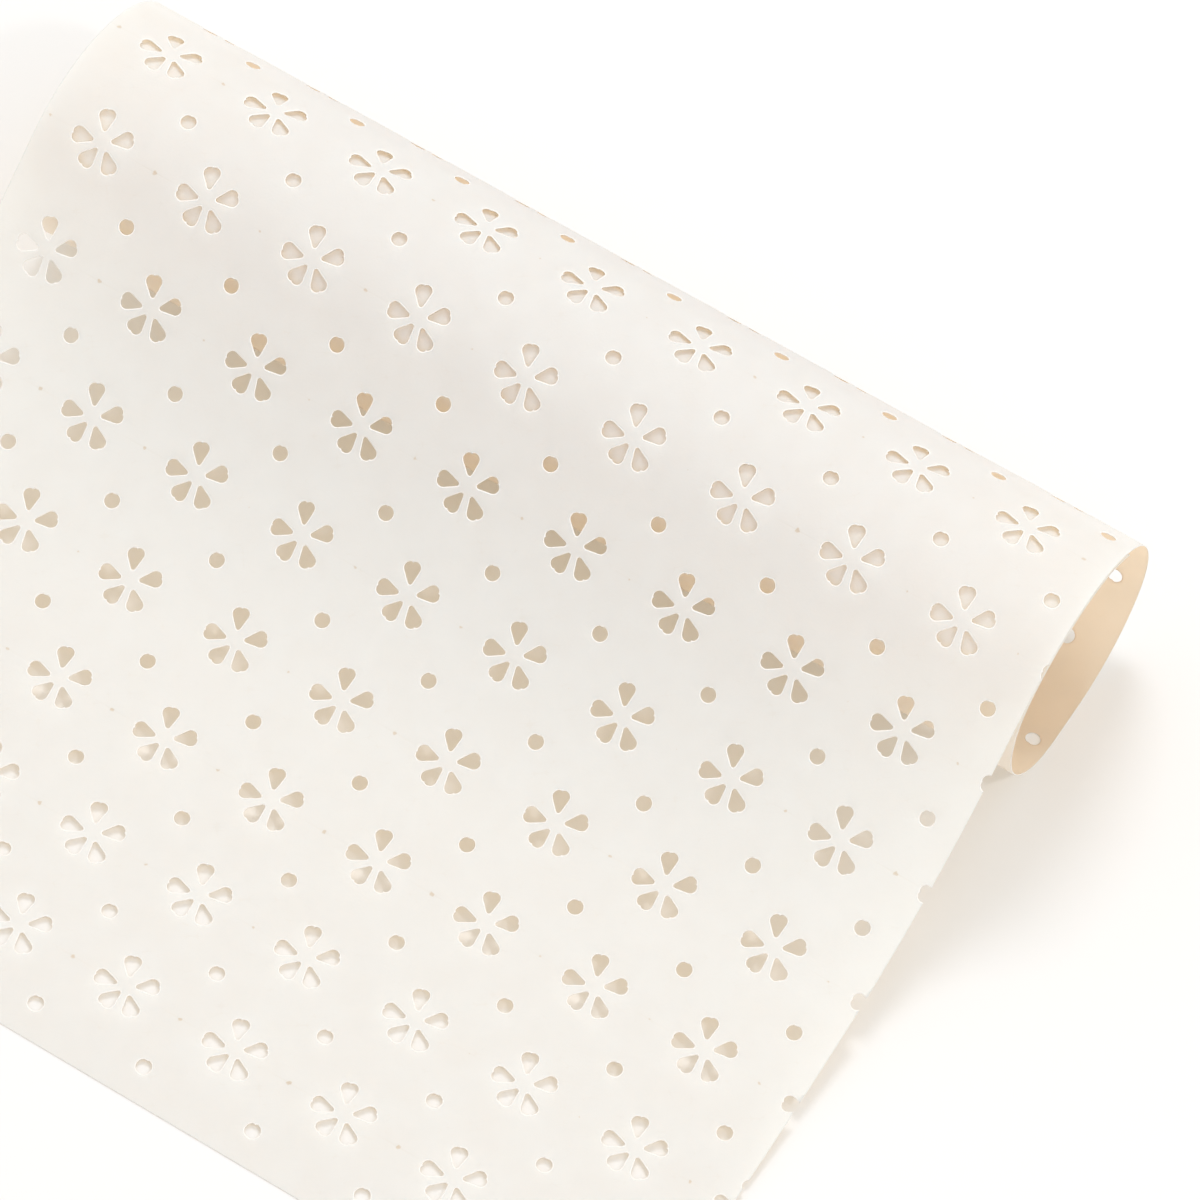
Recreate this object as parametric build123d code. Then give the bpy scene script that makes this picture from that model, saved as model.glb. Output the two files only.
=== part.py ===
"""Perforated paper sheet, loosely rolled and lying at rest on a table.

One piece of heavy handmade paper. Its free end lies flat, the sheet rises in a long slope, passes over
the crest of one open roll, goes down its back, under it, up its near side, and is tucked in close under
its own top layer. It is punched with five-petal flowers on a lattice, and a dot in each lattice cell.

The paper is one wall of even thickness. It is made of flat facets whose folds lie on the true curve of
the sheet and run between the holes, so each hole is punched square through one facet.

Frame: +X along the roll, +Y from the free end to the roll, +Z up, Z = 0 on the table.
Millimetres. The origin is at the middle of the footprint.
"""
from build123d import *

import bisect
import math
import os

# The sheet
SHEET_WIDTH = 469.0        # along the roll
PAPER_THICKNESS = 0.4

# From the free end up to the crest
FREE_END_LENGTH = 58.0     # lies flat on the table
TOE_RADIUS = 538.0         # wide bend where the paper leaves the table
TOE_ANGLE = 12.5           # pitch of the paper where that bend ends, in degrees
SWEEP_RADIUS = 213.0       # tighter bend up to the slope
SLOPE_ANGLE = 42.0         # pitch of the straight slope

# The roll is a slumped oval. Radii are to the middle of the paper, and each heading is the direction
# that the paper runs in where a bend ends: 0 to the back, -90 down, -180 to the front, -270 up
CREST_RADIUS = 58.5
CREST_END = -25.0
BACK_RADIUS = 67.0
BACK_END = -80.0
HEEL_RADIUS = 45.0
SPOT_HEADING = -180.0      # after the heel, a flat spot of one facet lies on the table
KNEE_RADIUS = 37.0
KNEE_END = -215.0
BELLY_END = -275.0         # the belly and the shoulder after it have the radii that close the roll

# The inner end lies close under the top layer
LAYER_GAP = 2.4            # between the middles of the two layers
TUCK_PAST_CREST = 15.0     # how far the inner end goes on after the crest

# The punched lattice. Its home row is the one crossed by the fold before the flat spot
ROW_PITCH = 50.0           # between rows of flowers, along the paper
COLUMN_PITCH = 50.35       # between the flowers of a row
ROW_LEAN = 1.2             # each row nearer to the free end stands this much further to -X
LATTICE_INSET = 133.9      # from the +X edge to column 0 of the home row
COLUMNS = range(-6, 4)     # the +X edge cuts through the last one
INNER_ROWS = 2             # rows past the home one. Those further in are covered, and left plain
END_MARGIN = 12.0          # no row of holes is centred nearer than this to the free end

# The flower and the dot
PETAL_ANGLES = (36.0, 111.0, 190.0, 250.0, 313.0)
PETAL_REACHES = (9.0, 10.5, 9.7, 8.4, 9.0)     # from the flower's centre to the middle of each petal
PETAL_LENGTH = 9.4
PETAL_WIDTH = 6.6
PETAL_TIP_SHARE = 0.6      # of a petal's length is on the inner side of its middle
DOT_DIAMETER = 6.5
FLOWER_FOLD = 1.6          # a fold crosses each flower between its petals, this far past its centre
PUNCH_REACH = 0.9          # how far a hole is cut on each side of the middle of the paper

# Worked out from the sizes above
FACET_LENGTH = ROW_PITCH / 3
FULL_TURN = 360.0


def bend_step(radius, start, end):
    """The step across a bend that turns the paper from one heading to another."""
    a, b = math.radians(start), math.radians(end)
    side = math.copysign(radius, end - start)
    return Vector(side * (math.sin(b) - math.sin(a)), side * (math.cos(a) - math.cos(b)))


def over_and_down():
    """The step from the top of the slope, over the crest, and down the back and heel to the table."""
    step = bend_step(CREST_RADIUS, SLOPE_ANGLE, CREST_END)
    step += bend_step(BACK_RADIUS, CREST_END, BACK_END)
    return step + bend_step(HEEL_RADIUS, BACK_END, SPOT_HEADING)


def closing_radii():
    """Radii of the belly and the shoulder, with which the near side comes up just under the slope."""
    pitch = math.radians(SLOPE_ANGLE)
    under_slope = Vector(math.sin(pitch), -math.cos(pitch)) * LAYER_GAP
    rest = under_slope - over_and_down() + Vector(FACET_LENGTH, 0)
    rest -= bend_step(KNEE_RADIUS, SPOT_HEADING, KNEE_END)
    belly = bend_step(1.0, KNEE_END, BELLY_END)
    shoulder = bend_step(1.0, BELLY_END, SLOPE_ANGLE - FULL_TURN)
    both = belly.cross(shoulder).Z
    return rest.cross(shoulder).Z / both, belly.cross(rest).Z / both


def slope_length():
    """Length of the straight slope, with which the roll's flat spot comes down on the table."""
    rise = bend_step(TOE_RADIUS, 0.0, TOE_ANGLE) + bend_step(SWEEP_RADIUS, TOE_ANGLE, SLOPE_ANGLE)
    return (-over_and_down().Y - rise.Y) / math.sin(math.radians(SLOPE_ANGLE))


def lay(steps, point, heading):
    """Tangent straights and bends from a point on. A step is a size, and a bend's heading at its end."""
    edges = []
    for size, end in steps:
        direction = Vector(math.cos(math.radians(heading)), math.sin(math.radians(heading)))
        if end is None:
            edge = Line(point, point + direction * size)
        else:
            edge = JernArc(point, direction, size, end - heading)
            heading = end
        edges.append(edge)
        point = edge @ 1
    return edges


def paper_curve():
    """The middle of the paper as a wire in its own plane, and the distance along it to the flat spot."""
    belly_radius, shoulder_radius = closing_radii()
    tuck_turn = math.degrees(TUCK_PAST_CREST / (BACK_RADIUS - LAYER_GAP))
    to_spot = lay([
        (FREE_END_LENGTH, None),
        (TOE_RADIUS, TOE_ANGLE),
        (SWEEP_RADIUS, SLOPE_ANGLE),
        (slope_length(), None),
        (CREST_RADIUS, CREST_END),
        (BACK_RADIUS, BACK_END),
        (HEEL_RADIUS, SPOT_HEADING),
    ], Vector(0, 0), 0.0)
    from_spot = lay([
        (FACET_LENGTH, None),
        (KNEE_RADIUS, KNEE_END),
        (belly_radius, BELLY_END),
        (shoulder_radius, SLOPE_ANGLE - FULL_TURN),
        (CREST_RADIUS - LAYER_GAP, CREST_END - FULL_TURN),
        (BACK_RADIUS - LAYER_GAP, CREST_END - FULL_TURN - tuck_turn),
    ], to_spot[-1] @ 1, SPOT_HEADING)
    return Wire(to_spot + from_spot), sum(edge.length for edge in to_spot)


def fold_distances(length, to_spot):
    """Distances along the paper of its two ends and of the folds between them."""
    flat_facets = math.floor((to_spot - FREE_END_LENGTH) / FACET_LENGTH) + 1
    distance = to_spot - flat_facets * FACET_LENGTH
    folds = [0.0]
    while distance < length - FACET_LENGTH / 3:
        folds.append(distance)
        distance += FACET_LENGTH
    return folds + [length]


def beside(points, offset):
    """A polyline moved to its left by an offset, with mitred corners."""
    runs = [(b - a).normalized() for a, b in zip(points, points[1:])]
    moved = []
    for point, before, after in zip(points, runs[:1] + runs, runs + runs[-1:]):
        middle = (before + after).normalized()
        moved.append(point + Vector(-middle.Y, middle.X) * (offset / middle.dot(after)))
    return moved


def facet_planes(points):
    """For each facet a plane on the middle of the paper, with X along the roll and Y along the paper."""
    planes = []
    for start, end in zip(points, points[1:]):
        run = (end - start).normalized()
        origin = Vector(0, start.X, start.Y)
        planes.append(Plane(origin, x_dir=(1, 0, 0), z_dir=(0, -run.Y, run.X)))
    return planes


def petal(angle, reach):
    """One wedge-shaped petal, whose point is turned to the flower's centre."""
    tip = reach - PETAL_LENGTH * PETAL_TIP_SHARE
    end = tip + PETAL_LENGTH
    wedge = Polygon((tip, 0), (end, -PETAL_WIDTH / 2), (end, PETAL_WIDTH / 2))
    return Rot(0, 0, angle) * wedge


def flower():
    """The petals, each with the middle of its outline in the flower's own axes."""
    petals = []
    for angle, reach in zip(PETAL_ANGLES, PETAL_REACHES):
        middle = Vector(reach, 0).rotate(Axis.Z, angle)
        petals.append((petal(angle, reach), middle))
    return petals


def dot():
    """A dot as a square of the same area."""
    side = DOT_DIAMETER * math.sqrt(math.pi) / 2
    return [(Rectangle(side, side), Vector(0, 0))]


def lattice(to_spot):
    """Rows of holes as distance along the paper, X of column 0, columns, and what is punched there."""
    rows = []
    home = to_spot - FLOWER_FOLD
    row = -INNER_ROWS
    while home - row * ROW_PITCH > END_MARGIN:
        column_zero = SHEET_WIDTH / 2 - LATTICE_INSET - row * ROW_LEAN
        rows.append((home - row * ROW_PITCH, column_zero, flower()))
        half_row = row + 0.5
        if home - half_row * ROW_PITCH > END_MARGIN:
            column_half = SHEET_WIDTH / 2 - LATTICE_INSET - half_row * ROW_LEAN + COLUMN_PITCH / 2
            rows.append((home - half_row * ROW_PITCH, column_half, dot()))
        row += 1
    return rows


def punches(folds, planes, to_spot):
    """Cutters of all holes, each square to the facet that it lies on."""
    cutters = []
    for distance, column_zero, shapes in lattice(to_spot):
        for outline, middle in shapes:
            facet = bisect.bisect(folds, distance + middle.Y) - 1
            for column in COLUMNS:
                place = Pos(column_zero + column * COLUMN_PITCH, distance - folds[facet])
                hole = planes[facet] * place * outline
                if hole.bounding_box().min.X < SHEET_WIDTH / 2:
                    cutters.append(extrude(hole, amount=PUNCH_REACH, both=True))
    return cutters


def paper_sheet():
    """The whole sheet, one solid, standing over the middle of its footprint."""
    curve, to_spot = paper_curve()
    folds = fold_distances(curve.length, to_spot)
    points = [curve.position_at(fold, position_mode=PositionMode.LENGTH) for fold in folds]
    upper = beside(points, PAPER_THICKNESS / 2)
    lower = beside(points, -PAPER_THICKNESS / 2)
    section = Plane.YZ * make_face(Polyline(*upper, *reversed(lower), close=True))
    wall = extrude(section, amount=SHEET_WIDTH / 2, both=True)
    sheet = wall - punches(folds, facet_planes(points), to_spot)
    footprint = sheet.bounding_box()
    return Pos(0, -footprint.center().Y, -footprint.min.Z) * sheet


if __name__ == "__main__":
    os.makedirs("parts", exist_ok=True)
    export_step(paper_sheet(), "parts/paper_sheet.step")
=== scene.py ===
"""A sheet of handmade paper, punched with flowers and dots, lying loosely rolled on a table.

The paper is drawn as it would lie flat and cut there. Then each point of it is carried to its place
on the rolled curve, which has the sizes of the modelled part. Sizes are in millimetres, and the
scene is in metres.
"""

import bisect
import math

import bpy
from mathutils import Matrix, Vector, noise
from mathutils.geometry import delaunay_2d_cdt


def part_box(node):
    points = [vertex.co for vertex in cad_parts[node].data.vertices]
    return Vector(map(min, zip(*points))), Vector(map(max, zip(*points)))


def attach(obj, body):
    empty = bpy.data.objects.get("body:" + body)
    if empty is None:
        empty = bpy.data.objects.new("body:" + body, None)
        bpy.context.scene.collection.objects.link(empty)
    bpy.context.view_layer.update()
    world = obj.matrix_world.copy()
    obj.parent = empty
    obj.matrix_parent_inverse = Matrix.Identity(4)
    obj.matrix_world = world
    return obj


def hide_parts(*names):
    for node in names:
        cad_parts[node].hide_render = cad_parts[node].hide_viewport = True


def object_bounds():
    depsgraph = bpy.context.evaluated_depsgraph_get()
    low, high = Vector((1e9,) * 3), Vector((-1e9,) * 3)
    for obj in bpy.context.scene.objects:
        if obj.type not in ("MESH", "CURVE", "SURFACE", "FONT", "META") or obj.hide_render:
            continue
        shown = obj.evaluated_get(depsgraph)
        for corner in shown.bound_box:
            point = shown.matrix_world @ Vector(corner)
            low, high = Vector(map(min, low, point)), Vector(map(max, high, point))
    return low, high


bl_info = {
    "name": "Perforated paper sheet",
    "version": (1, 0, 0),
    "blender": (4, 5, 0),
    "location": "3D View > Sidebar > Paper",
    "description": "A loosely rolled sheet of handmade paper, punched with flowers and dots",
    "category": "Object",
}

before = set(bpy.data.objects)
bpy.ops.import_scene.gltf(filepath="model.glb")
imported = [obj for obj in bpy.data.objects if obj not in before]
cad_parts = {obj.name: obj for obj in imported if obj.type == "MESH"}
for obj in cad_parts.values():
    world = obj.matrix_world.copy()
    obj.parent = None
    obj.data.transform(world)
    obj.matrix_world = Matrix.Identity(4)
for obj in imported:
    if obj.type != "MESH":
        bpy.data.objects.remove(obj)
CAD_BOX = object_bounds()
NODE_LOW, NODE_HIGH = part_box("paper_sheet")

MM = 0.001

# The rolled curve, with radii to the middle of the paper and headings in degrees, as in the part
FREE_END_LENGTH = 58.0
TOE_RADIUS = 538.0
TOE_ANGLE = 12.5
SWEEP_RADIUS = 213.0
SLOPE_ANGLE = 42.0
CREST_RADIUS = 58.5
CREST_END = -25.0
BACK_RADIUS = 67.0
BACK_END = -80.0
HEEL_RADIUS = 45.0
SPOT_HEADING = -180.0
SPOT_LENGTH = 50.0 / 3
KNEE_RADIUS = 37.0
KNEE_END = -215.0
BELLY_END = -275.0
LAYER_GAP = 2.4
TUCK_PAST_CREST = 15.0
FULL_TURN = 360.0

# The punched lattice. Its home row lies just before the flat spot under the roll
ROW_PITCH = 50.0
COLUMN_PITCH = 50.35
ROW_LEAN = 1.2             # each row nearer to the free end stands this much further to -X
LATTICE_INSET = 133.9      # from the +X edge to column 0 of the home row
HOME_BEFORE_SPOT = 1.6
COLUMNS = range(-6, 4)     # the +X edge cuts through the last one
INNER_ROWS = 2             # rows past the home one. Those further in are covered, and left plain
END_MARGIN = 12.0          # no row of holes is centred nearer than this to the free end

# The dots of one column are seen on the roll's far wall, through its open end. There, those of two
# rows stand off the lattice, by this much in X and along the paper
OPEN_END_COLUMN = 2
STRAY_DOTS = {
    0.5: (-10.4, 1.9),
    1.5: (-2.0, 18.0),
}

# A flower's petals: angle of each one's middle from the flower's centre, its reach, and its own axis
PETALS = (
    (36.0, 9.0, 33.5),
    (111.0, 10.5, 110.4),
    (186.5, 9.7, 187.7),
    (249.5, 8.4, 250.9),
    (313.2, 9.0, 309.1),
)
PETAL_TIP_SHARE = 0.58     # of a petal's length is on the inner side of its middle
TIP_ROUNDING = 1.0
SHOULDER_ROUNDING = 2.6
LOBE_START = -10.0         # each shoulder's arc starts on the notch's side, at this angle
NOTCH_DEPTH = 0.5
TIP_POINTS = 4
SHOULDER_POINTS = 7
DOT_POINTS = 18
DOT_TAB_POINT = 5          # at this point of a dot's outline the punch leaves a little tab
DOT_TAB = 0.4

# The mesh of the flat sheet
GRID_ACROSS = 8.0
GRID_ALONG = 5.0
RIM_WIDTH = 0.4            # the band beside each cut that the punch rolled over; its lighter colour is a painted highlight
RIM_DROP = 0.10
CLEAR_OF_HOLES = 0.5       # grid points keep this far from the rims
MITRE_LIMIT = 0.5          # a corner of a rim goes out no further than the rim's width over this
WITHIN_BORDER = 1          # the kind of triangulation that leaves nothing outside the sheet
SAME_POINT = 1e-4          # points nearer to each other than this are one
FELT, MOULD, PAINTED_HIGHLIGHT_RIM = range(3)         # places of the finishes in the mesh's list of materials

# Between its free edge and the slope, the paper doesn't lie quite flat
FREE_END_LIFT = 2.2
LIFT_RISE = 24.0
LIFT_END = 220.0

# Handmade paper dries a little wavy: long waves, and short ones on them. It is held flat near the table
LONG_WAVE = (90.0, 140.0)
SHORT_WAVE = (34.0, 46.0)
SHORT_WAVE_SHARE = 0.35
HELD_FLAT_BELOW = 6.0

# The pulp's detail, on the flat sheet
FLAT_MAP = "flat"
LATTICE_MAP = "lattice"
CLOUD_SIZE = 16.0          # patches of thicker and thinner pulp
CLOUD_BAND = (0.3, 0.7)    # of the noise, from thin to thick
CLOUD_SHADE = 0.97
GRAIN_SIZE = 1.1           # the felt's own is finer: it is drawn this coarse so that it shows
GRAIN_HEIGHT = 0.03
FIBRE_LENGTH = 14.0
FIBRE_SPACING = 4.0
FIBRE_LEVEL = 0.5          # fibres run where the noise is at this level
FIBRE_SHARE = 0.006        # real fibres are finer too
FIBRE_SHOWN = 0.06
FIBRE_TURN = 0.6
# Small dents midway between the flowers, and faint creases along the rows, are darkened in colour as painted
# shade of the dents and creases
NICK_SIZE = 0.9
NICK_EDGE = (0.7, 0.4)     # a nick's ragged edge, from the sound paper inwards
NICK_PAINTED_SHADE = 0.55
CREASE_WIDTH = 0.5
CREASE_REACH = 14.0
CREASE_PAINTED_SHADE = 0.10
CREASE_DEPTH = 2.0
# Colour of the fibres, and of the painted shade in the nicks and creases
FIBRE_AND_PAINTED_SHADE_COLOUR = "#B3A284"

# How the paper takes the light
PAPER_ROUGHNESS = 0.9
MOULD_ROUGHNESS = (0.8, 1.0)
PAPER_GLOSS = 0.2
FELT_LIGHT_THROUGH = 0.53
FELT_GLOW = "#FFFCF6"
MOULD_LIGHT_THROUGH = 0.78
MOULD_GLOW = "#FFE8CC"
# The rims round the cuts and the cut walls are a little whiter than the sheet and not lit through, as
# painted highlight of the rolled cut edges
RIM_ROUGHNESS = 0.7
RIM_GLOSS = 0.3
RIM_HIGHLIGHT_COLOURS = ("#E0DDD8", "#EAE7E2")

# The table, with its sizes in metres but for the grain
TABLE_SIZE = 12.0
TABLE_DROP = 0.1 * MM      # the paper's lowest points stand this little above the table
TABLE_ROUGHNESS = (0.75, 0.85)
TABLE_GLOSS = 0.2
TABLE_LIFT = "#7B7566"     # added to what the camera sees of the table
LACQUER_GRAIN = 3.0        # a roller leaves lacquer a little smoother and rougher by turns, this coarse

# The camera and the lamps, in metres but for the lens
AIM = Vector((0.0475, 0.0931, 0.0))     # the point of the table at the middle of the picture
LENS = 218.7
SENSOR = 36.0
LAMP_DISTANCE = 2.6
KEY_DIRECTION = Vector((-0.22, 0.42, 0.88))
KEY_SIZE = 0.9
SIDE_DIRECTION = Vector((0.62, -0.15, 1.0))
SIDE_SIZE = 0.24

# Settings that more than one node has. A mix of colours takes them at inputs 6 and 7, and gives its
# result at output 2
MIX_COLOURS = {"data_type": "RGBA"}
IN_PLANE = {"noise_dimensions": "2D"}
ADD = {"operation": "ADD"}
MULTIPLY = {"operation": "MULTIPLY"}
MULTIPLY_ADD = {"operation": "MULTIPLY_ADD"}
ABSOLUTE = {"operation": "ABSOLUTE"}
MAXIMUM = {"operation": "MAXIMUM"}


def linear(code):
    """An sRGB colour code as a linear colour with full alpha."""
    channels = [int(code[i:i + 2], 16) / 255 for i in (1, 3, 5)]
    curved = [c / 12.92 if c <= 0.04045 else ((c + 0.055) / 1.055) ** 2.4 for c in channels]
    return (*curved, 1.0)


class PaperSizes(bpy.types.PropertyGroup):
    """Sizes of the sheet and of its punched holes."""
    width: bpy.props.FloatProperty(
        name="Width", description="Width of the sheet, along the roll", unit="LENGTH",
        default=round(NODE_HIGH.x - NODE_LOW.x, 6), min=0.1, max=2.0)
    thickness: bpy.props.FloatProperty(
        name="Thickness", description="Thickness of the paper", unit="LENGTH",
        default=0.4 * MM, min=0.05 * MM, max=2.0 * MM, precision=5)
    petal_length: bpy.props.FloatProperty(
        name="Petal length", description="From a petal's narrow tip to its outer end", unit="LENGTH",
        default=9.4 * MM, min=2.0 * MM, max=20.0 * MM, precision=4)
    petal_width: bpy.props.FloatProperty(
        name="Petal width", description="Width of a petal at its shoulders", unit="LENGTH",
        default=7.0 * MM, min=1.0 * MM, max=15.0 * MM, precision=4)
    dot_diameter: bpy.props.FloatProperty(
        name="Dot diameter", description="Diameter of the round hole in each lattice cell", unit="LENGTH",
        default=6.5 * MM, min=1.0 * MM, max=15.0 * MM, precision=4)
    cockle: bpy.props.FloatProperty(
        name="Cockle", description="How far the paper stands off its true curve where it waves",
        unit="LENGTH", default=0.25 * MM, min=0.0, max=2.0 * MM, precision=5)


class PaperFinish(bpy.types.PropertyGroup):
    """Colours of the paper and of the table."""
    pulp: bpy.props.FloatVectorProperty(
        name="Pulp", description="Colour of the bleached pulp", subtype="COLOR", size=4,
        min=0.0, max=1.0, default=linear("#EAF7FF"))
    mould_side: bpy.props.FloatVectorProperty(
        name="Mould side", description="Colour of the side that lay on the mould", subtype="COLOR", size=4,
        min=0.0, max=1.0, default=linear("#F3FBFF"))
    table: bpy.props.FloatVectorProperty(
        name="Table", description="Colour of the table top", subtype="COLOR", size=4,
        min=0.0, max=1.0, default=linear("#FCFBF9"))
    table_seen: bpy.props.FloatVectorProperty(
        name="Table as seen", description="Colour of the table top to the camera, before it is lifted",
        subtype="COLOR", size=4, min=0.0, max=1.0, default=linear("#CACBCE"))


class PaperStudio(bpy.types.PropertyGroup):
    """Camera and light."""
    azimuth: bpy.props.FloatProperty(
        name="Azimuth", description="How far round to -X the camera looks from +Y", subtype="ANGLE",
        default=math.radians(25.02))
    elevation: bpy.props.FloatProperty(
        name="Elevation", description="How steeply the camera looks down", subtype="ANGLE",
        default=math.radians(58.10))
    roll: bpy.props.FloatProperty(
        name="Roll", description="Turn of the camera about its own view", subtype="ANGLE",
        default=math.radians(7.77))
    distance: bpy.props.FloatProperty(
        name="Distance", description="From the camera to the point that it aims at", unit="LENGTH",
        default=2.957, min=0.5, max=20.0)
    key_power: bpy.props.FloatProperty(
        name="Key light", description="Power of the large soft lamp, in watts",
        default=23.0, min=0.0, max=1000.0)
    side_power: bpy.props.FloatProperty(
        name="Side light", description="Power of the smaller lamp at the side, in watts",
        default=10.0, min=0.0, max=1000.0)
    fill_strength: bpy.props.FloatProperty(
        name="Fill light", description="Strength of the even light from all round",
        default=1.0, min=0.0, max=2.0)


def bend_step(radius, start, end):
    """The step across a bend that turns the paper from one heading to another."""
    a, b = math.radians(start), math.radians(end)
    side = math.copysign(radius, end - start)
    return Vector((side * (math.sin(b) - math.sin(a)), side * (math.cos(a) - math.cos(b))))


def over_and_down():
    """The step from the top of the slope, over the crest, and down the back and heel to the table."""
    step = bend_step(CREST_RADIUS, SLOPE_ANGLE, CREST_END)
    step += bend_step(BACK_RADIUS, CREST_END, BACK_END)
    return step + bend_step(HEEL_RADIUS, BACK_END, SPOT_HEADING)


def closing_radii():
    """Radii of the belly and the shoulder, with which the near side comes up just under the slope."""
    pitch = math.radians(SLOPE_ANGLE)
    under_slope = Vector((math.sin(pitch), -math.cos(pitch))) * LAYER_GAP
    rest = under_slope - over_and_down() + Vector((SPOT_LENGTH, 0))
    rest -= bend_step(KNEE_RADIUS, SPOT_HEADING, KNEE_END)
    belly = bend_step(1.0, KNEE_END, BELLY_END)
    shoulder = bend_step(1.0, BELLY_END, SLOPE_ANGLE - FULL_TURN)
    both = belly.cross(shoulder)
    return rest.cross(shoulder) / both, belly.cross(rest) / both


def slope_length():
    """Length of the straight slope, with which the roll's flat spot comes down on the table."""
    rise = bend_step(TOE_RADIUS, 0.0, TOE_ANGLE) + bend_step(SWEEP_RADIUS, TOE_ANGLE, SLOPE_ANGLE)
    return (-over_and_down().y - rise.y) / math.sin(math.radians(SLOPE_ANGLE))


class PaperCurve:
    """The middle of the rolled paper, as a chain of straights and bends from the free end inwards."""

    def __init__(self):
        self.starts, self.stretches, self.length = [], [], 0.0
        self.place, self.heading = Vector((0.0, 0.0)), 0.0
        belly_radius, shoulder_radius = closing_radii()
        tuck_turn = math.degrees(TUCK_PAST_CREST / (BACK_RADIUS - LAYER_GAP))
        self.straight(FREE_END_LENGTH)
        self.bend(TOE_RADIUS, TOE_ANGLE)
        self.bend(SWEEP_RADIUS, SLOPE_ANGLE)
        self.straight(slope_length())
        self.bend(CREST_RADIUS, CREST_END)
        self.bend(BACK_RADIUS, BACK_END)
        self.bend(HEEL_RADIUS, SPOT_HEADING)
        self.to_spot = self.length
        self.straight(SPOT_LENGTH)
        self.bend(KNEE_RADIUS, KNEE_END)
        self.bend(belly_radius, BELLY_END)
        self.bend(shoulder_radius, SLOPE_ANGLE - FULL_TURN)
        self.bend(CREST_RADIUS - LAYER_GAP, CREST_END - FULL_TURN)
        self.bend(BACK_RADIUS - LAYER_GAP, CREST_END - FULL_TURN - tuck_turn)

    def add(self, length, turn, step):
        """Puts one more stretch at the end of the curve."""
        self.starts.append(self.length)
        self.stretches.append((self.place, self.heading, turn / length))
        self.length += length
        self.place = self.place + step
        self.heading += turn

    def straight(self, length):
        """Goes on straight ahead."""
        self.add(length, 0.0, Vector((math.cos(self.heading), math.sin(self.heading))) * length)

    def bend(self, radius, end):
        """Goes on in a bend, up to a heading in degrees."""
        start = math.degrees(self.heading)
        turn = math.radians(end - start)
        self.add(radius * abs(turn), turn, bend_step(radius, start, end))

    def at(self, distance):
        """Place and heading of the paper at a distance from the free end."""
        i = max(bisect.bisect(self.starts, distance) - 1, 0)
        place, start, rate = self.stretches[i]
        along = distance - self.starts[i]
        heading = start + rate * along
        if rate == 0.0:
            return place + Vector((math.cos(start), math.sin(start))) * along, heading
        step = Vector((math.sin(heading) - math.sin(start), math.cos(start) - math.cos(heading)))
        return place + step / rate, heading


def arc(centre, radius, start, end, points):
    """Points of an arc, with its angles in degrees."""
    step = (end - start) / (points - 1)
    angles = [math.radians(start + i * step) for i in range(points)]
    return [centre + Vector((math.cos(a), math.sin(a))) * radius for a in angles]


def petal(length, width):
    """Outline of a petal about its middle: a narrow round tip, straight sides and a notched outer end."""
    tip_centre = Vector((TIP_ROUNDING - length * PETAL_TIP_SHARE, 0.0))
    end = length * (1 - PETAL_TIP_SHARE)
    shoulder_centre = Vector((end - SHOULDER_ROUNDING, width / 2 - SHOULDER_ROUNDING))
    apart = shoulder_centre - tip_centre
    flare = math.atan2(apart.y, apart.x)
    flare += math.asin((SHOULDER_ROUNDING - TIP_ROUNDING) / apart.length)
    side = 90.0 + math.degrees(flare)
    tip = arc(tip_centre, TIP_ROUNDING, side, FULL_TURN - side, TIP_POINTS)
    shoulder = arc(shoulder_centre, SHOULDER_ROUNDING, LOBE_START, side, SHOULDER_POINTS)
    below = [Vector((point.x, -point.y)) for point in reversed(shoulder)]
    return tip + below + [Vector((end - NOTCH_DEPTH, 0.0))] + shoulder


def flower(sizes):
    """Outlines of a flower's petals about its centre."""
    outline = petal(sizes.petal_length / MM, sizes.petal_width / MM)
    petals = []
    for angle, reach, axis in PETALS:
        middle = Matrix.Rotation(math.radians(angle), 2) @ Vector((reach, 0.0))
        turned = Matrix.Rotation(math.radians(axis), 2)
        petals.append([middle + turned @ point for point in outline])
    return petals


def dot(sizes):
    """The one round outline of a dot about its centre."""
    radius = sizes.dot_diameter / MM / 2
    outline = arc(Vector((0.0, 0.0)), radius, 0.0, FULL_TURN, DOT_POINTS + 1)[:-1]
    outline[DOT_TAB_POINT] *= 1 - DOT_TAB / radius
    return [outline]


def holes(sizes, curve):
    """Outlines of all holes in the flat sheet, with X across it and Y its distance from the free end."""
    edge = sizes.width / MM / 2
    home = curve.to_spot - HOME_BEFORE_SPOT
    outlines = []
    half_row = -2 * INNER_ROWS
    while home - half_row / 2 * ROW_PITCH > END_MARGIN:
        row = half_row / 2
        distance = home - row * ROW_PITCH
        shapes, shift = (dot(sizes), COLUMN_PITCH / 2) if half_row % 2 else (flower(sizes), 0.0)
        for column in COLUMNS:
            across = edge - LATTICE_INSET - row * ROW_LEAN + column * COLUMN_PITCH + shift
            centre = Vector((across, distance))
            if column == OPEN_END_COLUMN:
                centre += Vector(STRAY_DOTS.get(row, (0.0, 0.0)))
            moved = [[centre + point for point in outline] for outline in shapes]
            outlines += [o for o in moved if min(p.x for p in o) < edge - RIM_WIDTH]
        half_row += 1
    return outlines


def widened(outline, distance):
    """An outline moved outwards by a distance, with mitred corners."""
    moved = []
    for before, point, after in zip(outline[-1:] + outline, outline, outline[1:] + outline[:1]):
        a, b = (point - before).normalized(), (after - point).normalized()
        across = Vector((a.y + b.y, -a.x - b.x)).normalized()
        moved.append(point + across * (distance / max(across.dot(Vector((b.y, -b.x))), MITRE_LIMIT)))
    return moved


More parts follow.
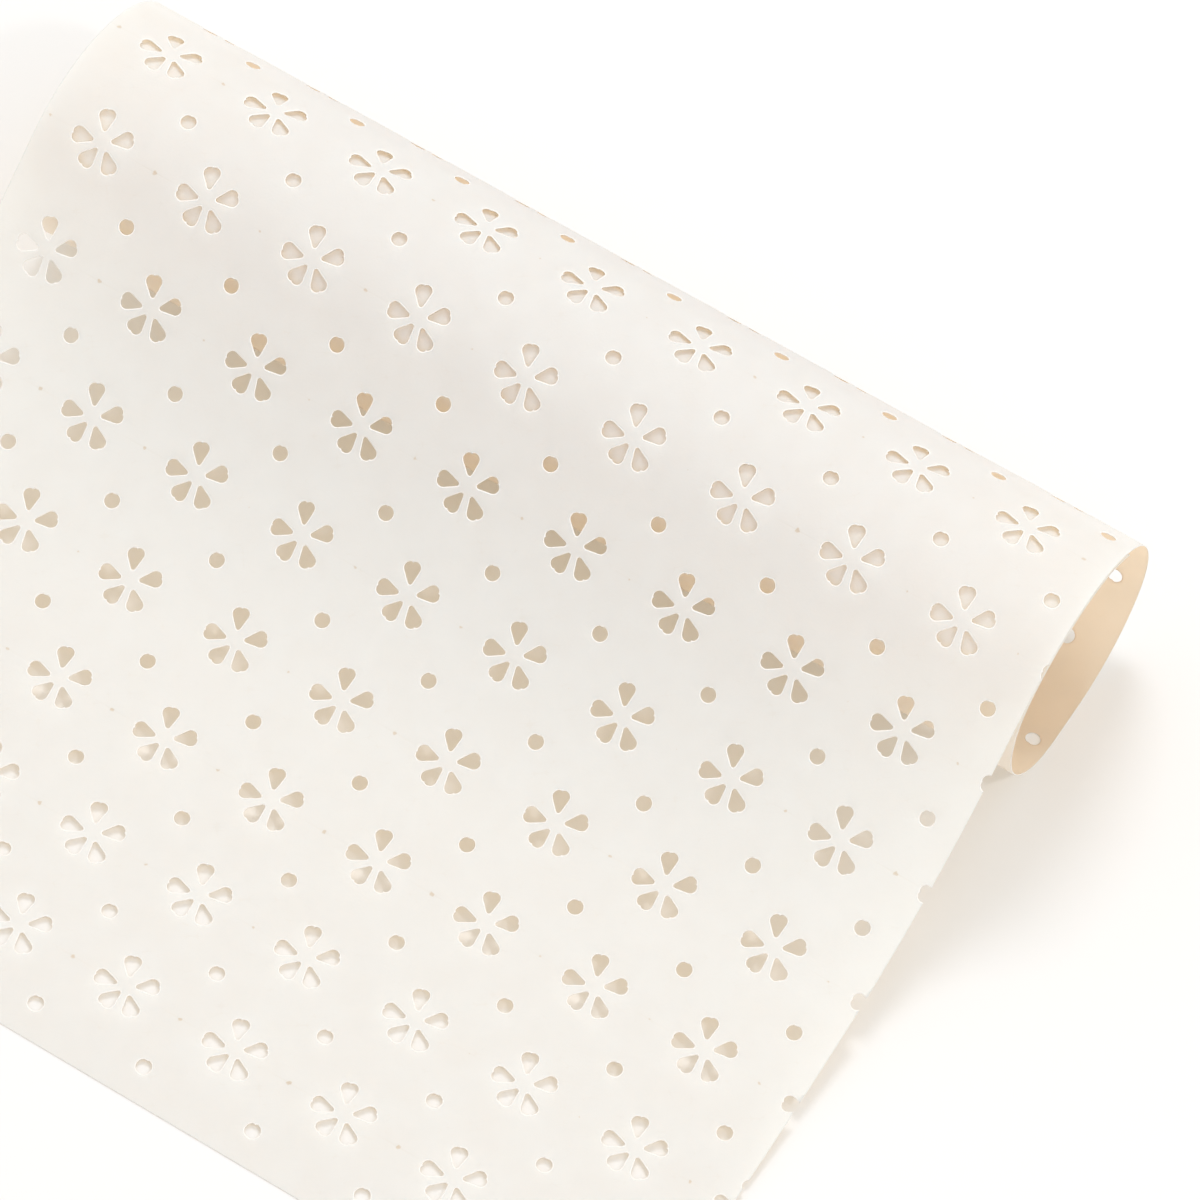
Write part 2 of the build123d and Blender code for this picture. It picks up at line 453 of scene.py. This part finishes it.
def lines_between(start, end, step):
    """Evenly spaced places from start to end, with one more close to each end for its rim."""
    count = max(round((end - start) / step), 1)
    inner = [start + (end - start) * i / count for i in range(1, count)]
    return [start, start + RIM_WIDTH] + inner + [end - RIM_WIDTH, end]


def inside(point, outline):
    """Whether a point lies inside an outline."""
    crossings = 0
    for a, b in zip(outline, outline[1:] + outline[:1]):
        if (a.y > point.y) != (b.y > point.y):
            crossings += point.x < a.x + (b.x - a.x) * (point.y - a.y) / (b.y - a.y)
    return crossings % 2 == 1


def open_grid(sizes, curve, outlines):
    """Grid points of the flat sheet that keep clear of all holes and their rims."""
    half = sizes.width / MM / 2
    across = lines_between(-half, half, GRID_ACROSS)
    along = lines_between(0.0, curve.length, GRID_ALONG)
    grid = {(i, j): Vector((x, y)) for i, x in enumerate(across) for j, y in enumerate(along)}
    for outline in outlines:
        wide = widened(outline, RIM_WIDTH + CLEAR_OF_HOLES)
        xs, ys = [p.x for p in wide], [p.y for p in wide]
        for i in range(bisect.bisect(across, min(xs)), bisect.bisect(across, max(xs))):
            for j in range(bisect.bisect(along, min(ys)), bisect.bisect(along, max(ys))):
                if (i, j) in grid and inside(grid[i, j], wide):
                    del grid[i, j]
    return list(grid.values())


def flat_sheet(sizes, curve):
    """The flat sheet as points, those on the holes' outlines, and triangles, with the holes left open."""
    half = sizes.width / MM / 2
    outlines = holes(sizes, curve)
    points, edges, faces = [], [], []
    border = [Vector(p) for p in ((-half, 0.0), (half, 0.0), (half, curve.length), (-half, curve.length))]
    for outline in [border] + outlines:
        faces.append(list(range(len(points), len(points) + len(outline))))
        points += outline
    punched = range(len(border), len(points))
    for outline in outlines:
        ring = range(len(points), len(points) + len(outline))
        edges += list(zip(ring, [*ring[1:], ring[0]]))
        points += widened(outline, RIM_WIDTH)
    points += open_grid(sizes, curve, outlines)
    every, _, triangles, origins, _, covers = delaunay_2d_cdt(
        points, edges, faces, WITHIN_BORDER, SAME_POINT, True)
    kept = [t for t, cover in zip(triangles, covers) if list(cover) == [0]]
    used = sorted({i for t in kept for i in t})
    number = {i: n for n, i in enumerate(used)}
    cut = {number[i] for i in used if any(o in punched for o in origins[i])}
    return [every[i] for i in used], cut, [[number[i] for i in t] for t in kept]


def eased(value, start, end):
    """From 0 at start to 1 at end, with an easy curve between."""
    share = min(max((value - start) / (end - start), 0.0), 1.0)
    return share * share * (3 - 2 * share)


def free_end_lift(distance):
    """How far the relaxed paper stands off the table between its free edge and the slope."""
    return FREE_END_LIFT * eased(distance, 0.0, LIFT_RISE) * (1 - eased(distance, LIFT_RISE, LIFT_END))


def cockle(x, distance, size):
    """How far the paper stands off its true curve where it waves a little, as handmade paper does."""
    long_wave = noise.noise(Vector((x / LONG_WAVE[0], distance / LONG_WAVE[1], 0.0)))
    short_wave = noise.noise(Vector((x / SHORT_WAVE[0], distance / SHORT_WAVE[1], 0.0)))
    return size * (long_wave + SHORT_WAVE_SHARE * short_wave)


def rolled(points, cut, sizes, curve):
    """Upper and lower place in the frame of each point of the flat sheet."""
    thickness = sizes.thickness / MM
    upper, lower = [], []
    for i, point in enumerate(points):
        place, heading = curve.at(point.y)
        out = Vector((0.0, -math.sin(heading), math.cos(heading)))
        middle = Vector((point.x, place.x, place.y + thickness / 2))
        lift = free_end_lift(point.y)
        loose = min((place.y + lift) / HELD_FLAT_BELOW, 1.0)
        middle += out * (lift + cockle(point.x, point.y, sizes.cockle / MM) * loose)
        top = thickness / 2 - (RIM_DROP if i in cut else 0.0)
        for side, offset in ((upper, top), (lower, -thickness / 2)):
            spot = (middle + out * offset) * MM
            side.append(Vector((spot.x, spot.y + CAD_BOX[0].y, max(spot.z, 0.0))))
    return upper, lower


def lattice_place(point, sizes, curve):
    """Column and row of the lattice at a point of the flat sheet."""
    row = (curve.to_spot - HOME_BEFORE_SPOT - point.y) / ROW_PITCH
    column_zero = sizes.width / MM / 2 - LATTICE_INSET - row * ROW_LEAN
    return Vector(((point.x - column_zero) / COLUMN_PITCH, row))


def paper_mesh(sizes, curve):
    """The rolled and punched sheet as one closed wall, and its area.

    One UV map holds the flat sheet's millimetres, and the other the lattice's columns and rows.
    """
    points, cut, triangles = flat_sheet(sizes, curve)
    upper, lower = rolled(points, cut, sizes, curve)
    count = len(points)
    directed = {(a, b) for t in triangles for a, b in zip(t, [*t[1:], t[0]])}
    rims = sorted((a, b) for a, b in directed if (b, a) not in directed)
    faces = [list(t) for t in triangles]
    faces += [[i + count for i in reversed(t)] for t in triangles]
    faces += [[b, a, a + count, b + count] for a, b in rims]
    mesh = bpy.data.meshes.new("paper_sheet_punched")
    mesh.from_pydata(upper + lower, [], faces)
    flat, lattice = mesh.uv_layers.new(name=FLAT_MAP), mesh.uv_layers.new(name=LATTICE_MAP)
    places = [lattice_place(point, sizes, curve) for point in points]
    for loop in mesh.loops:
        flat.uv[loop.index].vector = points[loop.vertex_index % count]
        lattice.uv[loop.index].vector = places[loop.vertex_index % count]
    # Triangles at a hole's outline, and the cut walls, take the rim finish with its painted highlight
    upper_side = [PAINTED_HIGHLIGHT_RIM if any(i in cut for i in t) else FELT for t in triangles]
    finishes = upper_side + [MOULD] * len(triangles) + [PAINTED_HIGHLIGHT_RIM] * len(rims)
    mesh.polygons.foreach_set("material_index", finishes)
    mesh.polygons.foreach_set("use_smooth", [True] * len(faces))
    mesh.update()
    return mesh, sum(signed_area(points, t) for t in triangles)


def signed_area(points, triangle):
    """Area of a flat triangle whose corners run the positive way round."""
    a, b, c = (points[i] for i in triangle)
    return (b - a).cross(c - a) / 2


def add_node(tree, kind, settings=None, **inputs):
    """Adds a node with its settings and its inputs, which go by name or, as _0, _1, by place.

    An input is a value, or else an output that it is linked to. A node stands for its first output.
    """
    node = tree.nodes.new(kind)
    for name, value in (settings or {}).items():
        setattr(node, name, value)
    for name, value in inputs.items():
        socket = node.inputs[int(name[1:]) if name[0] == "_" else name.replace("_", " ")]
        if isinstance(value, bpy.types.Node):
            value = value.outputs[0]
        if isinstance(value, bpy.types.NodeSocket):
            tree.links.new(value, socket)
        else:
            socket.default_value = value
    return node


def new_material(name):
    """A material and its empty node tree."""
    material = bpy.data.materials.new(name)
    material.use_nodes = True
    material.node_tree.nodes.clear()
    return material, material.node_tree


def pulp_detail(tree):
    """How thick the pulp settled, its fine grain, and thin fibres, each from 0 to 1."""
    flat = add_node(tree, "ShaderNodeUVMap", {"uv_map": FLAT_MAP})
    cloud = add_node(tree, "ShaderNodeTexNoise", IN_PLANE, Vector=flat, Scale=1 / CLOUD_SIZE, Detail=1.0)
    grain = add_node(tree, "ShaderNodeTexNoise", IN_PLANE, Vector=flat, Scale=1 / GRAIN_SIZE, Detail=0.0)
    along = add_node(tree, "ShaderNodeMapping", {"vector_type": "TEXTURE"}, Vector=flat,
                     Rotation=(0.0, 0.0, FIBRE_TURN), Scale=(FIBRE_LENGTH, FIBRE_SPACING, 1.0))
    field = add_node(tree, "ShaderNodeTexNoise", IN_PLANE, Vector=along, Scale=1.0, Detail=0.0)
    fibre = add_node(tree, "ShaderNodeMath", {"operation": "COMPARE"},
                     _0=field, _1=FIBRE_LEVEL, _2=FIBRE_SHARE)
    return cloud, grain, fibre


def between_flowers(tree):
    """Millimetres from the middle between two flowers of a row, and a chance value for each middle."""
    lattice = add_node(tree, "ShaderNodeUVMap", {"uv_map": LATTICE_MAP})
    shifted = add_node(tree, "ShaderNodeVectorMath", ADD, _0=lattice, _1=(0.0, 0.5, 0.0))
    cell = add_node(tree, "ShaderNodeVectorMath", {"operation": "FLOOR"}, _0=shifted)
    chance = add_node(tree, "ShaderNodeTexWhiteNoise", IN_PLANE, Vector=cell)
    part = add_node(tree, "ShaderNodeVectorMath", {"operation": "FRACTION"}, _0=shifted)
    pitch = (COLUMN_PITCH, ROW_PITCH, 0.0)
    to_middle = tuple(-size / 2 for size in pitch)
    beside = add_node(tree, "ShaderNodeVectorMath", MULTIPLY_ADD, _0=part, _1=pitch, _2=to_middle)
    return beside, chance.outputs["Value"]


def creases(tree, grain):
    """Small nicks along the rows, where the sheet was once folded, and faint creases beside them: masks for
    the painted shade of the dents and creases.
    """
    beside, chance = between_flowers(tree)
    away = add_node(tree, "ShaderNodeVectorMath", {"operation": "LENGTH"}, _0=beside)
    ragged = add_node(tree, "ShaderNodeMath", MULTIPLY_ADD,
                      _0=chance, _1=-NICK_SIZE, _2=away.outputs["Value"])
    ragged = add_node(tree, "ShaderNodeMath", ADD, _0=ragged, _1=grain)
    nick = add_node(tree, "ShaderNodeMapRange", Value=ragged, From_Min=NICK_EDGE[0], From_Max=NICK_EDGE[1])
    axes = add_node(tree, "ShaderNodeSeparateXYZ", Vector=beside)
    across = add_node(tree, "ShaderNodeMath", ABSOLUTE, _0=axes.outputs["Y"])
    along = add_node(tree, "ShaderNodeMath", ABSOLUTE, _0=axes.outputs["X"])
    line = add_node(tree, "ShaderNodeMapRange", Value=across, From_Min=CREASE_WIDTH, From_Max=0.0)
    run = add_node(tree, "ShaderNodeMapRange", Value=along, From_Min=CREASE_REACH, From_Max=0.0)
    faded = add_node(tree, "ShaderNodeMath", MULTIPLY, _0=run, _1=chance)
    crease = add_node(tree, "ShaderNodeMath", MULTIPLY, _0=line, _1=faded)
    return nick, crease


def clouded(tree, cloud, thin, thick):
    """A colour that changes a little with how thick the pulp settled."""
    share = add_node(tree, "ShaderNodeMapRange", Value=cloud, From_Min=CLOUD_BAND[0], From_Max=CLOUD_BAND[1])
    return add_node(tree, "ShaderNodeMix", MIX_COLOURS, Factor=share, _6=thin, _7=thick).outputs[2]


def shaded(colour):
    """A colour as it looks where the pulp makes it darker."""
    return (*(c * CLOUD_SHADE for c in colour[:3]), 1.0)


def join_light_through(tree, shader, glow, through):
    """Joins a shader with one that lets a share of the light through, as the material's surface."""
    passed_on = add_node(tree, "ShaderNodeBsdfTranslucent", Color=glow)
    both = add_node(tree, "ShaderNodeMixShader", Fac=through, _1=shader, _2=passed_on)
    add_node(tree, "ShaderNodeOutputMaterial", Surface=both)


def felt_side(finish):
    """The felt side of bleached handmade paper, soft and white: half of the light comes straight back.

    It is a little cloudy and has a fine felt grain and fibres. Where it was once folded, its nicks and
    creases are darkened as painted shade.
    """
    material, tree = new_material("handmade_paper_felt_side")
    cloud, grain, fibre = pulp_detail(tree)
    nick, crease = creases(tree, grain)
    fibres_and_painted_shade = add_node(tree, "ShaderNodeMath", MULTIPLY, _0=fibre, _1=FIBRE_SHOWN)
    # The crease and nick shares darken the pulp as painted shade of the creases and dents; the fibres before
    # them are the pulp's own
    fibres_and_painted_shade = add_node(tree, "ShaderNodeMath", MULTIPLY_ADD, _0=crease, _1=CREASE_PAINTED_SHADE, _2=fibres_and_painted_shade)
    fibres_and_painted_shade = add_node(tree, "ShaderNodeMath", MULTIPLY_ADD, _0=nick, _1=NICK_PAINTED_SHADE, _2=fibres_and_painted_shade)
    pulp = clouded(tree, cloud, shaded(finish.pulp), finish.pulp)
    body = add_node(tree, "ShaderNodeMix", MIX_COLOURS, Factor=fibres_and_painted_shade, _6=pulp, _7=linear(FIBRE_AND_PAINTED_SHADE_COLOUR))
    height = add_node(tree, "ShaderNodeMath", MULTIPLY_ADD, _0=crease, _1=-CREASE_DEPTH, _2=grain)
    bump = add_node(tree, "ShaderNodeBump", Height=height, Distance=GRAIN_HEIGHT * MM)
    shader = add_node(tree, "ShaderNodeBsdfPrincipled", Base_Color=body.outputs[2],
                      Roughness=PAPER_ROUGHNESS, Specular_IOR_Level=PAPER_GLOSS, Normal=bump)
    join_light_through(tree, shader, linear(FELT_GLOW), FELT_LIGHT_THROUGH)
    return material


def mould_side(finish):
    """The mould side of the same paper: more light comes through it, warmer, and shows its clouds."""
    material, tree = new_material("handmade_paper_mould_side")
    cloud, grain, fibre = pulp_detail(tree)
    # Here only the fibres darken the pulp, with no painted shade
    fibres_and_painted_shade = add_node(tree, "ShaderNodeMath", MULTIPLY, _0=fibre, _1=FIBRE_SHOWN)
    body = add_node(tree, "ShaderNodeMix", MIX_COLOURS, Factor=fibres_and_painted_shade,
                    _6=finish.mould_side, _7=linear(FIBRE_AND_PAINTED_SHADE_COLOUR))
    rough = add_node(tree, "ShaderNodeMapRange", Value=grain,
                     To_Min=MOULD_ROUGHNESS[0], To_Max=MOULD_ROUGHNESS[1])
    shader = add_node(tree, "ShaderNodeBsdfPrincipled", Base_Color=body.outputs[2],
                      Roughness=rough, Specular_IOR_Level=PAPER_GLOSS)
    glow = linear(MOULD_GLOW)
    join_light_through(tree, shader, clouded(tree, cloud, glow, shaded(glow)), MOULD_LIGHT_THROUGH)
    return material


def rim_with_painted_highlight():
    """The band round each cut and the cut walls: a little whiter than the sheet, as painted highlight of the
    rolled edges, and not lit through.
    """
    material, tree = new_material("handmade_paper_rim_painted_highlight")
    flat = add_node(tree, "ShaderNodeUVMap", {"uv_map": FLAT_MAP})
    grain = add_node(tree, "ShaderNodeTexNoise", IN_PLANE, Vector=flat, Scale=1 / GRAIN_SIZE, Detail=0.0)
    low, high = (linear(code) for code in RIM_HIGHLIGHT_COLOURS)
    colour = add_node(tree, "ShaderNodeMix", MIX_COLOURS, Factor=grain, _6=low, _7=high)
    shader = add_node(tree, "ShaderNodeBsdfPrincipled", Base_Color=colour.outputs[2],
                      Roughness=RIM_ROUGHNESS, Specular_IOR_Level=RIM_GLOSS)
    add_node(tree, "ShaderNodeOutputMaterial", Surface=shader)
    return material


def seen_directly(tree):
    """1 for rays from the camera, and for those that metal or glass sends on, and otherwise 0."""
    path = add_node(tree, "ShaderNodeLightPath")
    seen = add_node(tree, "ShaderNodeMath", MAXIMUM,
                    _0=path.outputs["Is Camera Ray"], _1=path.outputs["Is Glossy Ray"])
    return add_node(tree, "ShaderNodeMath", MAXIMUM, _0=seen, _1=path.outputs["Is Transmission Ray"])


def lacquered_table(finish):
    """Matt white lacquer, put on with a roller: even, with hardly any shine.

    The camera sees it a little lifted, so that it fades to white.
    """
    material, tree = new_material("matt_white_lacquer")
    seen = seen_directly(tree)
    colour = add_node(tree, "ShaderNodeMix", MIX_COLOURS, Factor=seen, _6=finish.table, _7=finish.table_seen)
    place = add_node(tree, "ShaderNodeTexCoord")
    grain = add_node(tree, "ShaderNodeTexNoise", IN_PLANE, Vector=place.outputs["Object"],
                     Scale=1 / (LACQUER_GRAIN * MM), Detail=0.0)
    rough = add_node(tree, "ShaderNodeMapRange", Value=grain,
                     To_Min=TABLE_ROUGHNESS[0], To_Max=TABLE_ROUGHNESS[1])
    shader = add_node(tree, "ShaderNodeBsdfPrincipled", Base_Color=colour.outputs[2],
                      Roughness=rough, Specular_IOR_Level=TABLE_GLOSS,
                      Emission_Color=linear(TABLE_LIFT), Emission_Strength=seen)
    add_node(tree, "ShaderNodeOutputMaterial", Surface=shader)
    return material


class PAPER_OT_sheet(bpy.types.Operator):
    """Makes the punched and rolled sheet in place of the modelled one"""
    bl_idname = "paper.make_sheet"
    bl_label = "Make the sheet"

    def execute(self, context):
        scene = context.scene
        sizes, finish = scene.paper_sizes, scene.paper_finish
        curve = PaperCurve()
        mesh, area = paper_mesh(sizes, curve)
        if mesh.validate():
            raise RuntimeError("the sheet's mesh had faces that aren't valid")
        sheet = bpy.data.objects.new("paper_sheet_punched", mesh)
        scene.collection.objects.link(sheet)
        for material in (felt_side(finish), mould_side(finish), rim_with_painted_highlight()):
            mesh.materials.append(material)
        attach(sheet, "root")
        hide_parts("paper_sheet")
        return {"FINISHED"}


def add_table(finish):
    """The table top, a plain square."""
    half = TABLE_SIZE / 2
    mesh = bpy.data.meshes.new("table_top")
    corners = [(x, y, -TABLE_DROP) for x, y in ((-half, -half), (half, -half), (half, half), (-half, half))]
    mesh.from_pydata(corners, [], [(0, 1, 2, 3)])
    mesh.materials.append(lacquered_table(finish))
    table = bpy.data.objects.new("table_top", mesh)
    bpy.context.scene.collection.objects.link(table)


def add_camera(studio):
    """The camera, which looks down at the sheet from beyond its free end."""
    data = bpy.data.cameras.new("camera")
    data.lens, data.sensor_width = LENS, SENSOR
    data.clip_end = studio.distance + TABLE_SIZE
    camera = bpy.data.objects.new("camera", data)
    turn = Matrix.Rotation(studio.azimuth, 4, "Z") @ Matrix.Rotation(math.pi / 2 - studio.elevation, 4, "X")
    back = turn.to_3x3() @ Vector((0.0, 0.0, studio.distance))
    camera.matrix_world = Matrix.Translation(AIM + back) @ turn @ Matrix.Rotation(studio.roll, 4, "Z")
    bpy.context.scene.collection.objects.link(camera)
    bpy.context.scene.camera = camera


def add_lamp(name, direction, size, power):
    """A round lamp that shines on the middle of the picture."""
    data = bpy.data.lights.new(name, "AREA")
    data.shape, data.size, data.energy = "DISK", size, power
    lamp = bpy.data.objects.new(name, data)
    towards = direction.normalized()
    lamp.location = AIM + towards * LAMP_DISTANCE
    lamp.rotation_euler = towards.to_track_quat("Z", "Y").to_euler()
    bpy.context.scene.collection.objects.link(lamp)


def add_fill_light(studio):
    """An even white world. The camera sees it as plain white."""
    world = bpy.data.worlds.new("even_white")
    world.use_nodes = True
    tree = world.node_tree
    tree.nodes.clear()
    seen = seen_directly(tree)
    strength = add_node(tree, "ShaderNodeMix", Factor=seen, A=studio.fill_strength, B=1.0)
    background = add_node(tree, "ShaderNodeBackground", Color=linear("#FFFFFF"), Strength=strength)
    add_node(tree, "ShaderNodeOutputWorld", Surface=background)
    bpy.context.scene.world = world


class PAPER_OT_stage(bpy.types.Operator):
    """Sets the table, the light and the camera"""
    bl_idname = "paper.set_stage"
    bl_label = "Set the stage"

    def execute(self, context):
        scene = context.scene
        studio = scene.paper_studio
        scene.view_settings.view_transform = "Standard"
        add_table(scene.paper_finish)
        add_camera(studio)
        add_lamp("key_light", KEY_DIRECTION, KEY_SIZE, studio.key_power)
        add_lamp("side_light", SIDE_DIRECTION, SIDE_SIZE, studio.side_power)
        add_fill_light(studio)
        return {"FINISHED"}


class PAPER_PT_panel(bpy.types.Panel):
    """Lists the sizes, the finish and the steps"""
    bl_idname = "PAPER_PT_panel"
    bl_label = "Perforated paper sheet"
    bl_space_type = "VIEW_3D"
    bl_region_type = "UI"
    bl_category = "Paper"

    def draw(self, context):
        scene = context.scene
        for group in (scene.paper_sizes, scene.paper_finish, scene.paper_studio):
            box = self.layout.box()
            for name in group.__annotations__:
                box.prop(group, name)
        self.layout.operator("paper.make_sheet")
        self.layout.operator("paper.set_stage")


GROUPS = (("paper_sizes", PaperSizes), ("paper_finish", PaperFinish), ("paper_studio", PaperStudio))
CLASSES = (PAPER_OT_sheet, PAPER_OT_stage, PAPER_PT_panel)


def register():
    """Makes the values, the steps and the panel known to Blender."""
    for name, group in GROUPS:
        bpy.utils.register_class(group)
        setattr(bpy.types.Scene, name, bpy.props.PointerProperty(type=group))
    for each in CLASSES:
        bpy.utils.register_class(each)


def unregister():
    """Takes them away again."""
    for each in reversed(CLASSES):
        bpy.utils.unregister_class(each)
    for name, group in reversed(GROUPS):
        delattr(bpy.types.Scene, name)
        bpy.utils.unregister_class(group)


def main():
    """Makes the whole scene."""
    register()
    bpy.ops.paper.make_sheet()
    bpy.ops.paper.set_stage()


if __name__ == "__main__":
    main()
